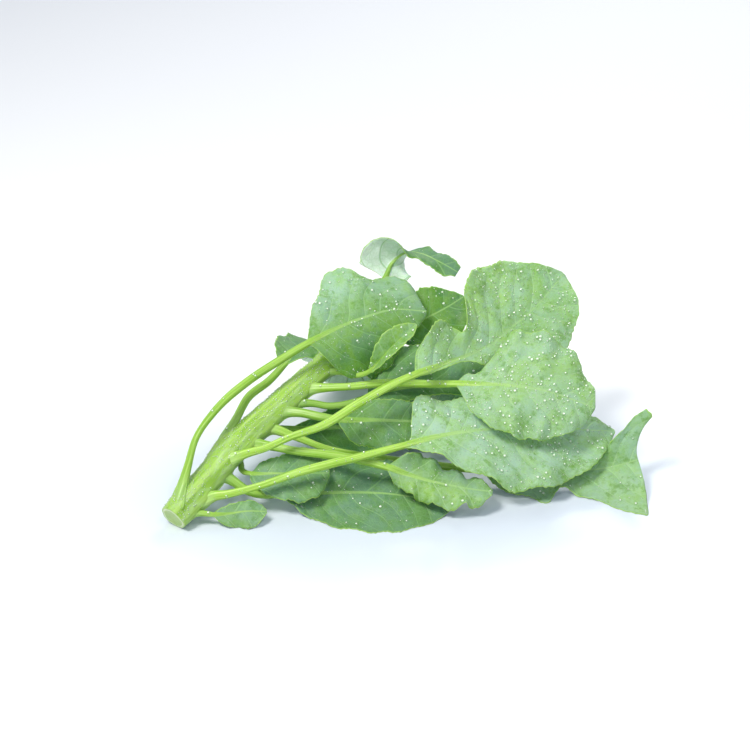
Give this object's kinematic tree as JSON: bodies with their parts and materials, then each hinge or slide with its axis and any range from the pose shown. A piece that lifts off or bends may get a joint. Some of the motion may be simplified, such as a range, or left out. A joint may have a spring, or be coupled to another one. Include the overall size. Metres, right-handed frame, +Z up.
{
  "type": "chinese kale shoot",
  "caption": "Cut shoot of Chinese kale lying on its side: a thick smooth stem with broad, wavy-edged leaves on long petioles.",
  "frame": {"origin": "on the table under the middle of the shoot's box", "axes": "+X from the stem's cut end to the far leaf tips, +Z up off the table, +Y away from the picture's viewer"},
  "size_m": [0.2918, 0.173, 0.1184],
  "materials": {
    "stem_flesh": "smooth waxy yellow-green skin, half gloss",
    "leaf_blade": "thin matte blue-green leaf with a waxy bloom"
  },
  "bodies": {
    "root": {"stem": "stem_flesh", "leaf_01_left": "leaf_blade", "leaf_02_front": "leaf_blade", "leaf_03_top_right": "leaf_blade", "leaf_04_floor": "leaf_blade", "leaf_05_back_floor": "leaf_blade", "leaf_06_crumpled": "leaf_blade", "leaf_07_far_right": "leaf_blade", "leaf_08_middle": "leaf_blade", "leaf_09_right": "leaf_blade", "leaf_10_behind": "leaf_blade", "leaf_11_top": "leaf_blade", "leaf_12_young": "leaf_blade", "leaf_13_inner": "leaf_blade", "leaf_14_underneath": "leaf_blade", "leaf_15_by_stem": "leaf_blade", "leaf_16_small_front": "leaf_blade"}
  },
  "joints": []
}
